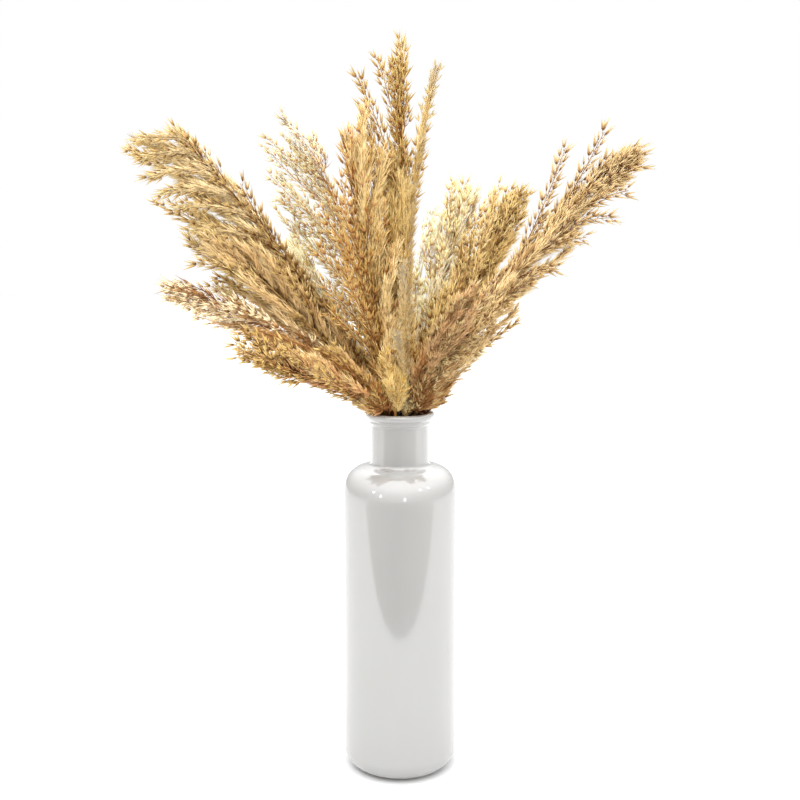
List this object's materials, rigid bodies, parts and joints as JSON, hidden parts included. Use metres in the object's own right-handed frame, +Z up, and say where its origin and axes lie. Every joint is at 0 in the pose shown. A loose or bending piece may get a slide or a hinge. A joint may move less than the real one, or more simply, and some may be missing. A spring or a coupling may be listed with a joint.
{
  "type": "vase of dried grasses",
  "caption": "Tall round white glazed bottle vase with a short narrow neck and flared lip, holding a fanned bunch of feathery dried grass plumes.",
  "frame": {"origin": "centre of the vase's flat base, on the surface it stands on", "axes": "+Z up along the vase's axis, -Y towards the front, the side seen in the picture, +X to the right of it"},
  "size_m": [0.4097, 0.2128, 0.602],
  "materials": {
    "white_glaze": "smooth white gloss glaze",
    "golden_dry_grass": "matt dry plant fibre, golden tan",
    "pale_dry_grass": "matt dry plant fibre, pale cream",
    "brown_dry_grass": "matt dry plant fibre, warm brown"
  },
  "bodies": {
    "root": {"vase": "white_glaze", "plume_left_tall": "golden_dry_grass", "plume_left_middle": "pale_dry_grass", "plume_left_arched": "brown_dry_grass", "plume_left_low": "golden_dry_grass", "plume_front_short": "pale_dry_grass", "plume_front_feather": "pale_dry_grass", "plume_right_low": "brown_dry_grass", "plume_right_long": "golden_dry_grass", "plume_right_upright": "golden_dry_grass", "plume_right_pale": "pale_dry_grass", "plume_back_pale_low": "pale_dry_grass", "plume_back_pale_tall": "pale_dry_grass", "plume_back_left": "pale_dry_grass", "plume_centre_left": "golden_dry_grass", "plume_centre_tall": "golden_dry_grass"}
  },
  "joints": []
}
